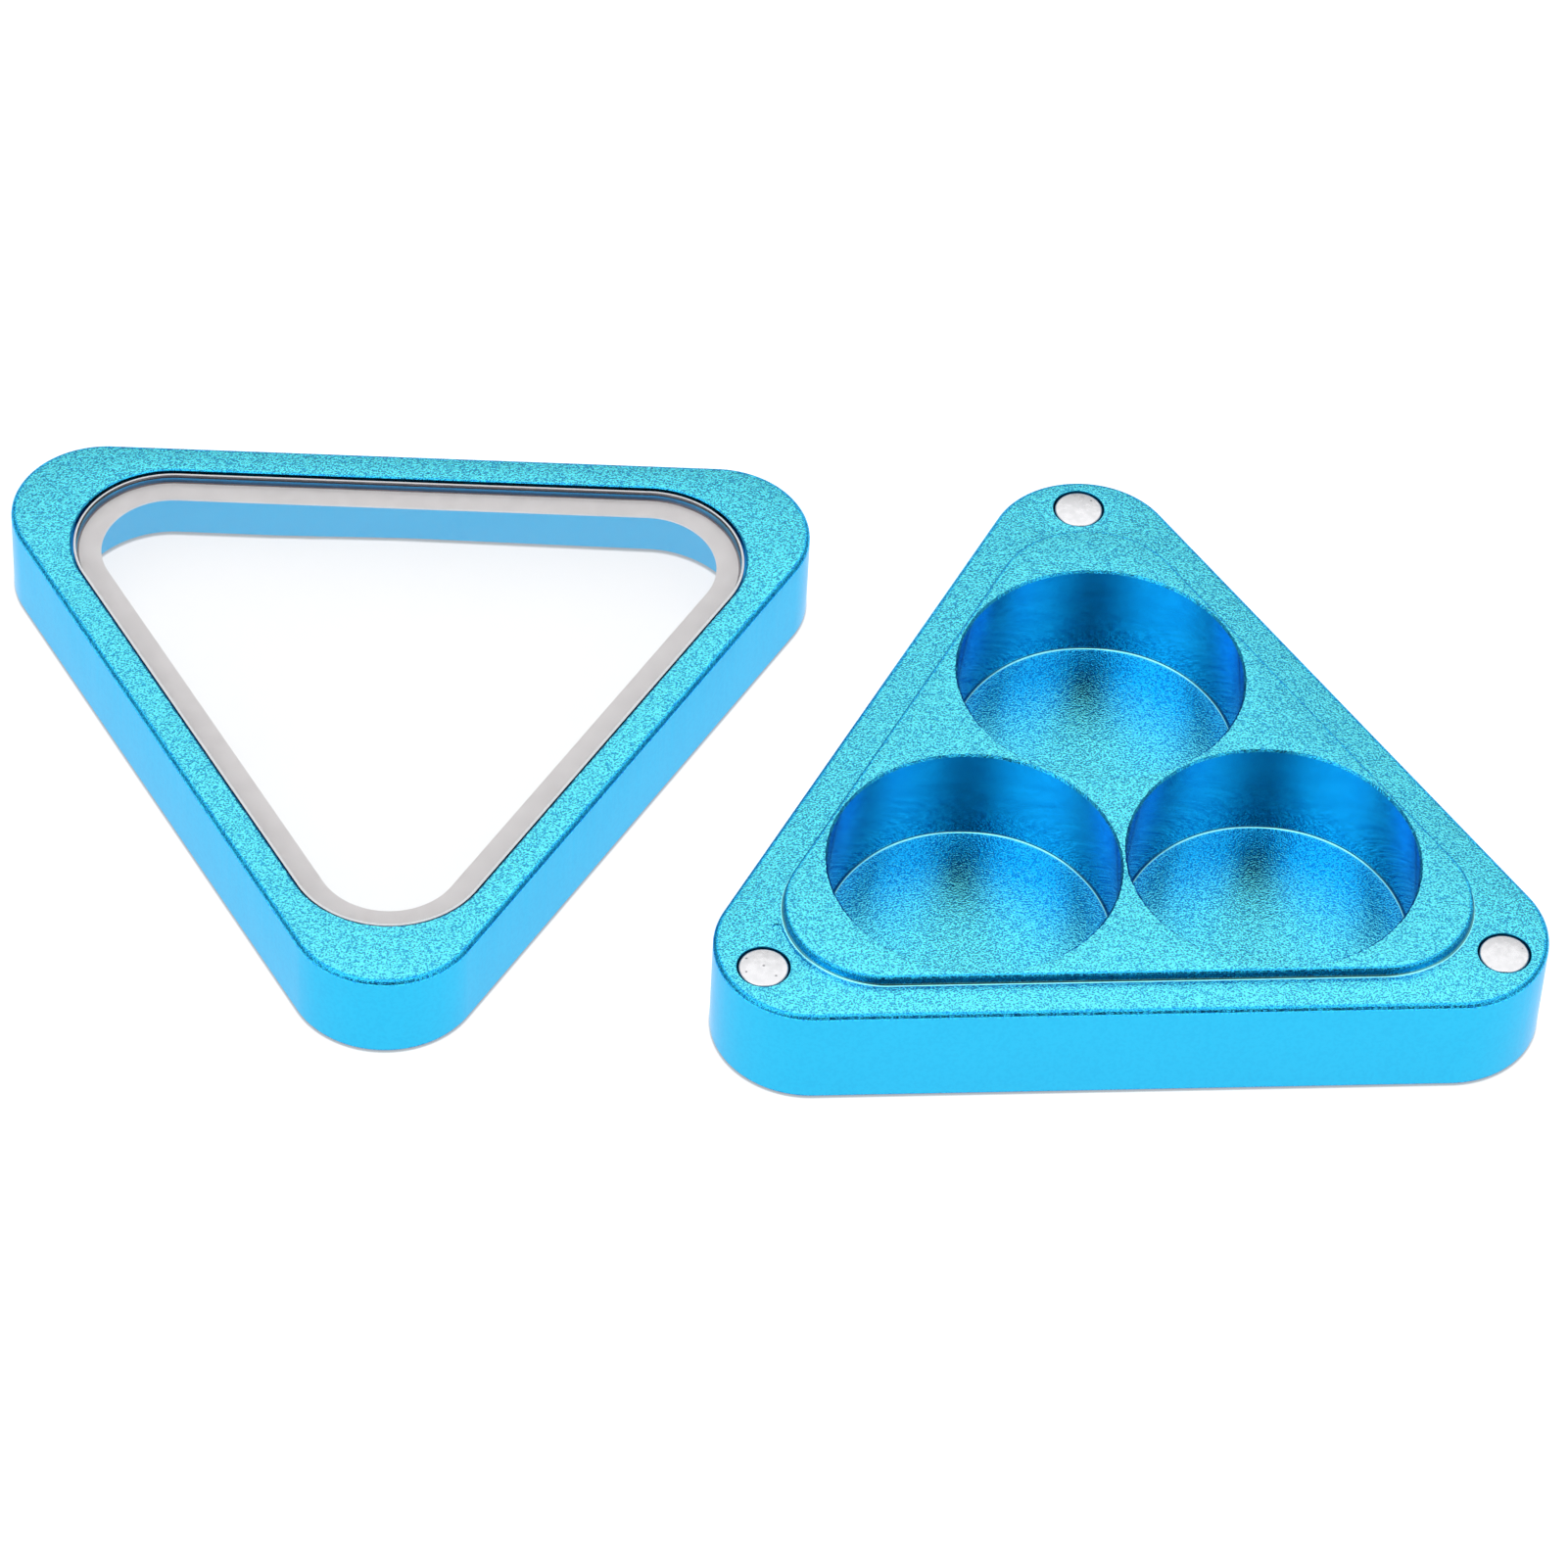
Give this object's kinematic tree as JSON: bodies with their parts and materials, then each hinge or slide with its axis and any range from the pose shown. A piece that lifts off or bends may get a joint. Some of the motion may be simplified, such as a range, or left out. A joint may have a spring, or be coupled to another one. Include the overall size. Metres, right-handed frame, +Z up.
{
  "type": "triangular magnetic case",
  "caption": "Rounded-triangle metal pocket case: base with round wells in a raised plateau and a magnet in each corner, beside a matching lid with a clear window.",
  "frame": {"origin": "centre of the base's flat underside, on the surface that base and lid lie on", "axes": "+X to the right along the base's front side, +Y from the front side to the base's back corner, +Z up out of the wells; the lid lies to the left, at -X"},
  "size_m": [0.0918, 0.0504, 0.0077],
  "materials": {
    "anodised_blue": "fine blasted and anodised sky blue, satin",
    "magnet_nickel": "nickel plate, slightly worn",
    "window_clear": "clear, polished",
    "film_silver": "silver-grey bonding film, satin"
  },
  "bodies": {
    "base": {"base_body": "anodised_blue", "base_magnet_back": "magnet_nickel", "base_magnet_left": "magnet_nickel", "base_magnet_right": "magnet_nickel"},
    "lid": {"lid_frame": "anodised_blue", "window_pane": "window_clear", "window_border": "film_silver", "lid_magnet_front": "magnet_nickel", "lid_magnet_right": "magnet_nickel", "lid_magnet_left": "magnet_nickel"}
  },
  "joints": [
    {"name": "lid_lift", "type": "slide", "parent": "base", "child": "lid", "axis": [0, 0, 1], "range_m": [0, 0.03]}
  ]
}
